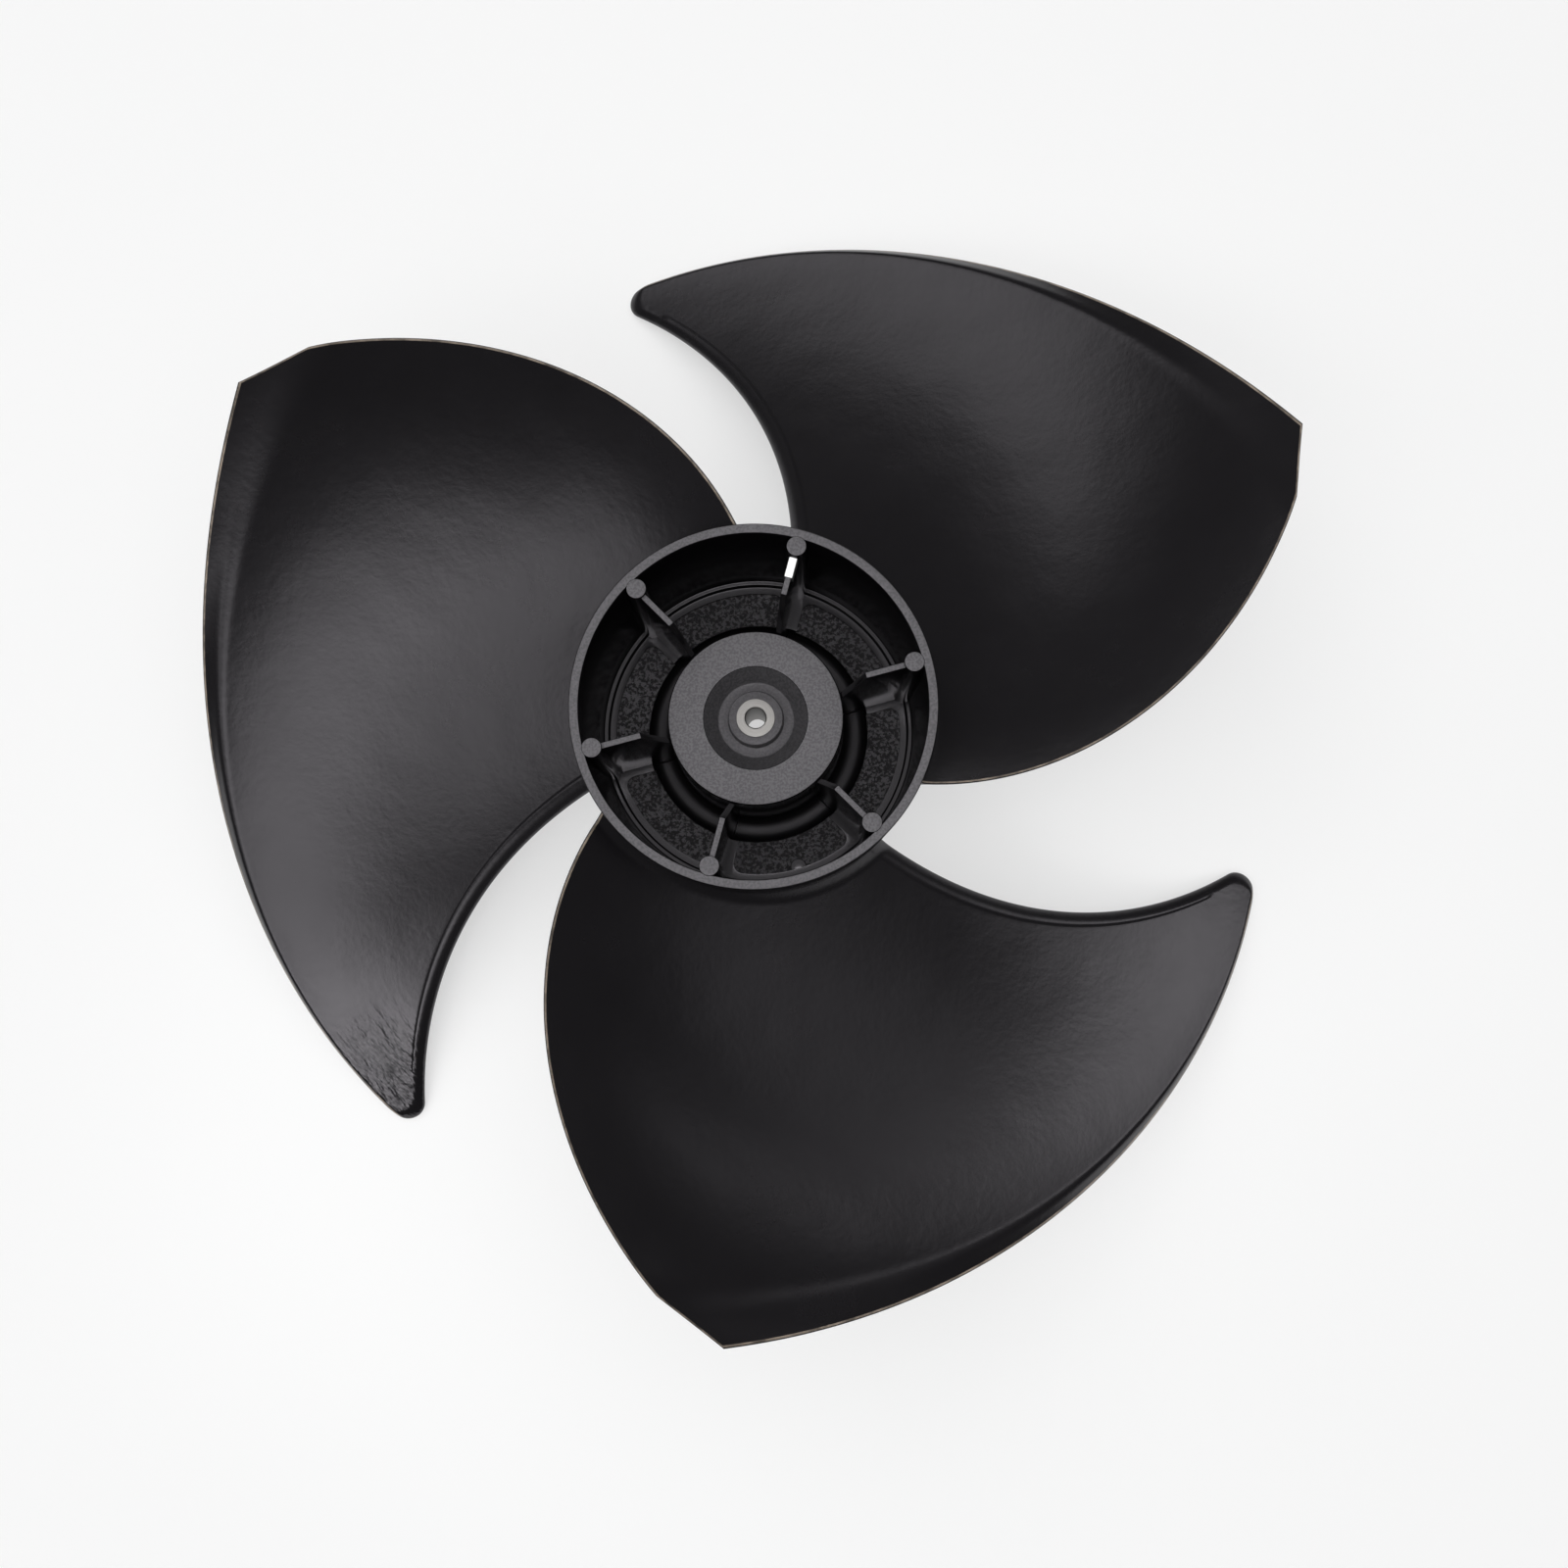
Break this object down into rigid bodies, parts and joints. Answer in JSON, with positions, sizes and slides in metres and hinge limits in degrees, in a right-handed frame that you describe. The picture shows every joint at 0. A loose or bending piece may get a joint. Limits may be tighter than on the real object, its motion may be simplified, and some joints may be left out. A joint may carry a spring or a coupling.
{
  "type": "air conditioner fan blade",
  "caption": "Black moulded propeller fan wheel with forward-swept blades around a ribbed hub cup and a metal shaft bush, for an air conditioner's outdoor unit.",
  "frame": {"origin": "centre of the shaft bore at the motor-side end of the bush, which seats on the shaft's shoulder", "axes": "+Z along the shaft towards the air outlet, where the hub cup opens; +X is to the right in the picture and +Y up in it"},
  "size_m": [0.4615, 0.47, 0.1539],
  "materials": {
    "moulding": "glossy",
    "bush": "satin",
    "clip": "bright"
  },
  "bodies": {
    "root": {"fan_wheel": "moulding", "shaft_bush": "bush", "balance_clip": "clip"}
  },
  "joints": []
}
